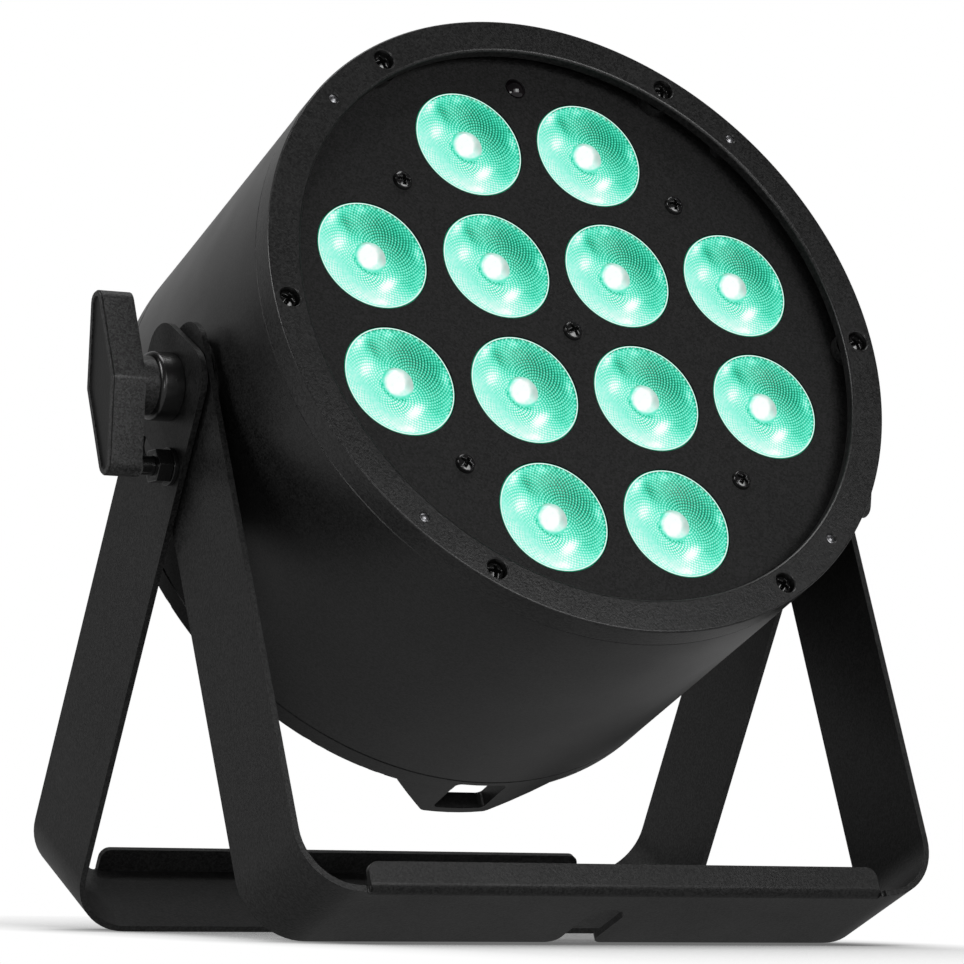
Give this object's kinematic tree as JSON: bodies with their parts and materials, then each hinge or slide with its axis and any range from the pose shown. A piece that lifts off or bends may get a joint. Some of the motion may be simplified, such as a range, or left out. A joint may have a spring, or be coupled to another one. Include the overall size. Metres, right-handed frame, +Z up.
{
  "type": "par can light",
  "caption": "Round LED par can light: bezel with dimpled lenses, fan-cooled head tilting on a folding double yoke, two locking knobs.",
  "frame": {"origin": "on the floor, midway between the outer reach of the head and of the rear bracket, straight under the tilt axis", "axes": "+Z up, the lamp faces -Y, +X along the tilt axis"},
  "size_m": [0.2844, 0.2014, 0.2953],
  "materials": {
    "bracket_paint": "matt black powder coat, very fine texture",
    "black_fastener": "black oxide, glossy",
    "zinc_steel": "bright zinc",
    "housing_paint": "satin black paint",
    "brass": "machined",
    "friction_rubber": "matt",
    "bezel_paint": "satin black, fine grain",
    "pin_steel": "polished",
    "plate_paint": "matt black, fine grain",
    "lens_acrylic": "moulded optical acrylic, lit teal green",
    "holder_plastic": "moulded",
    "led_phosphor": "silicone dome",
    "white_board": "white solder mask",
    "ir_window": "polished",
    "sink_aluminium": "as extruded",
    "fan_plastic": "moulded",
    "green_board": "green solder mask",
    "transformer_tape": "yellow tape",
    "capacitor_sleeve": "shrink sleeve",
    "switch_plastic": "moulded",
    "display_module": "dark liquid crystal",
    "display_glass": "tinted clear",
    "button_plastic": "moulded",
    "socket_plastic": "moulded",
    "cable_jacket": "vinyl",
    "collar_plastic": "moulded",
    "knob_plastic": "moulded, coarse grain rim"
  },
  "bodies": {
    "front_bracket": {"front_bracket": "bracket_paint", "arm_spacers": "zinc_steel", "stop_bolts": "black_fastener", "stop_washers": "black_fastener", "stop_nuts": "black_fastener"},
    "rear_bracket": {"rear_bracket": "bracket_paint"},
    "head": {"housing": "housing_paint", "pivot_inserts": "brass", "friction_washers": "friction_rubber", "front_bezel": "bezel_paint", "bezel_screws": "black_fastener", "bezel_pins": "pin_steel", "lens_plate": "plate_paint", "plate_screws": "black_fastener", "plate_standoffs": "brass", "lens_optics": "lens_acrylic", "lens_holders": "holder_plastic", "led_emitters": "led_phosphor", "led_board": "white_board", "ir_receiver": "ir_window", "heat_sink": "sink_aluminium", "sink_posts": "brass", "fan_frame": "fan_plastic", "fan_screws": "zinc_steel", "psu_board": "green_board", "psu_transformer": "transformer_tape", "psu_capacitors": "capacitor_sleeve", "psu_standoffs": "brass", "control_board": "green_board", "control_standoffs": "brass", "button_switches": "switch_plastic", "display": "display_module", "display_window": "display_glass", "rear_cover": "housing_paint", "rear_screws": "black_fastener", "power_inlet": "socket_plastic", "power_outlet": "socket_plastic", "dmx_input": "socket_plastic", "dmx_output": "socket_plastic", "socket_screws": "zinc_steel", "wiring": "cable_jacket"},
    "fan_rotor": {"fan_rotor": "fan_plastic"},
    "menu_button": {"menu_button": "button_plastic"},
    "down_button": {"down_button": "button_plastic"},
    "up_button": {"up_button": "button_plastic"},
    "enter_button": {"enter_button": "button_plastic"},
    "fuse_drawer": {"fuse_drawer": "socket_plastic"},
    "dmx_latch": {"dmx_latch": "zinc_steel"},
    "left_collar": {"left_collar": "collar_plastic"},
    "left_knob": {"left_knob": "knob_plastic", "left_stud": "zinc_steel"},
    "right_collar": {"right_collar": "collar_plastic"},
    "right_knob": {"right_knob": "knob_plastic", "right_stud": "zinc_steel"}
  },
  "joints": [
    {"name": "bracket_fold", "type": "hinge", "parent": "front_bracket", "child": "rear_bracket", "pos_m": [0, 0, 0.171], "axis": [-1, 0, 0], "range_deg": [0, 50]},
    {"name": "head_tilt", "type": "hinge", "parent": "front_bracket", "child": "head", "pos_m": [0, 0, 0.171], "axis": [1, 0, 0], "range_deg": [-65.1, 114.9]},
    {"name": "left_collar_slide", "type": "slide", "parent": "head", "child": "left_collar", "axis": [-1, 0, 0], "range_m": [0, 0.00252]},
    {"name": "left_knob_turn", "type": "hinge", "parent": "left_collar", "child": "left_knob", "pos_m": [0, 0, 0.171], "axis": [-1, 0, 0], "range_deg": [0, 720]},
    {"name": "right_collar_slide", "type": "slide", "parent": "head", "child": "right_collar", "axis": [1, 0, 0], "range_m": [0, 0.00252]},
    {"name": "right_knob_turn", "type": "hinge", "parent": "right_collar", "child": "right_knob", "pos_m": [0, 0, 0.171], "axis": [1, 0, 0], "range_deg": [0, 720]},
    {"name": "fan_spin", "type": "hinge", "parent": "head", "child": "fan_rotor", "pos_m": [0, 0, 0.171], "axis": [0, -0.907, 0.421], "continuous": true},
    {"name": "menu_press", "type": "slide", "parent": "head", "child": "menu_button", "axis": [0, -0.907, 0.421], "range_m": [0, 0.0008], "stiffness_N_per_m": 800},
    {"name": "down_press", "type": "slide", "parent": "head", "child": "down_button", "axis": [0, -0.907, 0.421], "range_m": [0, 0.0008], "stiffness_N_per_m": 800},
    {"name": "up_press", "type": "slide", "parent": "head", "child": "up_button", "axis": [0, -0.907, 0.421], "range_m": [0, 0.0008], "stiffness_N_per_m": 800},
    {"name": "enter_press", "type": "slide", "parent": "head", "child": "enter_button", "axis": [0, -0.907, 0.421], "range_m": [0, 0.0008], "stiffness_N_per_m": 800},
    {"name": "fuse_drawer_slide", "type": "slide", "parent": "head", "child": "fuse_drawer", "axis": [0, 0.907, -0.421], "range_m": [0, 0.012]},
    {"name": "latch_press", "type": "slide", "parent": "head", "child": "dmx_latch", "axis": [0, -0.421, -0.907], "range_m": [0, 0.0013], "stiffness_N_per_m": 1500}
  ],
  "couplings": [
    {"joint": "left_collar_slide", "follows": "left_knob_turn", "m_per_rad": 0.00019894},
    {"joint": "right_collar_slide", "follows": "right_knob_turn", "m_per_rad": 0.00019894}
  ]
}
